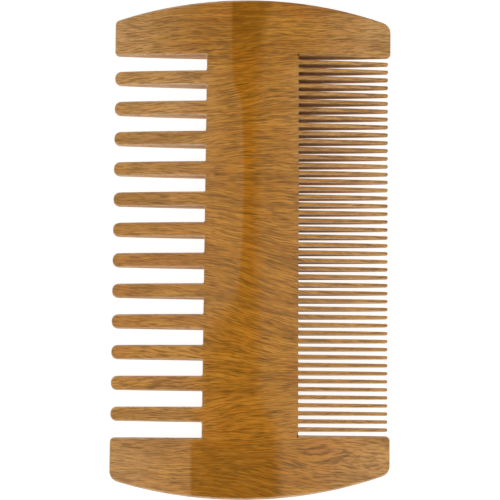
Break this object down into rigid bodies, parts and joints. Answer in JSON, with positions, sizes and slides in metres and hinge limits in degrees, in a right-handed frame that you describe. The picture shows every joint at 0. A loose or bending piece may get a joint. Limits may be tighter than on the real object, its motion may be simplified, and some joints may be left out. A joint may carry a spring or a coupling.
{
  "type": "beard comb",
  "caption": "Two-sided wooden pocket comb for beards: wide teeth on one side of a thick spine, fine teeth on the other, between two rounded end guards.",
  "frame": {"origin": "middle of the comb's back face, where it lies on a table", "axes": "+Y along the spine towards the top end guard, -X along the wide teeth, +X along the fine teeth, +Z out of the front face"},
  "size_m": [0.0558, 0.1, 0.0058],
  "materials": {
    "wood": "hand-rubbed satin oil and wax over fine-grained golden brown hardwood"
  },
  "bodies": {
    "root": {"body": "wood", "wide_tooth_01": "wood", "wide_tooth_02": "wood", "wide_tooth_03": "wood", "wide_tooth_04": "wood", "wide_tooth_05": "wood", "wide_tooth_06": "wood", "wide_tooth_07": "wood", "wide_tooth_08": "wood", "wide_tooth_09": "wood", "wide_tooth_10": "wood", "wide_tooth_11": "wood", "wide_tooth_12": "wood", "fine_tooth_01": "wood", "fine_tooth_02": "wood", "fine_tooth_03": "wood", "fine_tooth_04": "wood", "fine_tooth_05": "wood", "fine_tooth_06": "wood", "fine_tooth_07": "wood", "fine_tooth_08": "wood", "fine_tooth_09": "wood", "fine_tooth_10": "wood", "fine_tooth_11": "wood", "fine_tooth_12": "wood", "fine_tooth_13": "wood", "fine_tooth_14": "wood", "fine_tooth_15": "wood", "fine_tooth_16": "wood", "fine_tooth_17": "wood", "fine_tooth_18": "wood", "fine_tooth_19": "wood", "fine_tooth_20": "wood", "fine_tooth_21": "wood", "fine_tooth_22": "wood", "fine_tooth_23": "wood", "fine_tooth_24": "wood", "fine_tooth_25": "wood", "fine_tooth_26": "wood", "fine_tooth_27": "wood", "fine_tooth_28": "wood", "fine_tooth_29": "wood", "fine_tooth_30": "wood", "fine_tooth_31": "wood", "fine_tooth_32": "wood", "fine_tooth_33": "wood", "fine_tooth_34": "wood", "fine_tooth_35": "wood", "fine_tooth_36": "wood", "fine_tooth_37": "wood", "fine_tooth_38": "wood", "fine_tooth_39": "wood", "fine_tooth_40": "wood", "fine_tooth_41": "wood", "fine_tooth_42": "wood", "fine_tooth_43": "wood", "fine_tooth_44": "wood", "fine_tooth_45": "wood", "fine_tooth_46": "wood", "fine_tooth_47": "wood"}
  },
  "joints": []
}
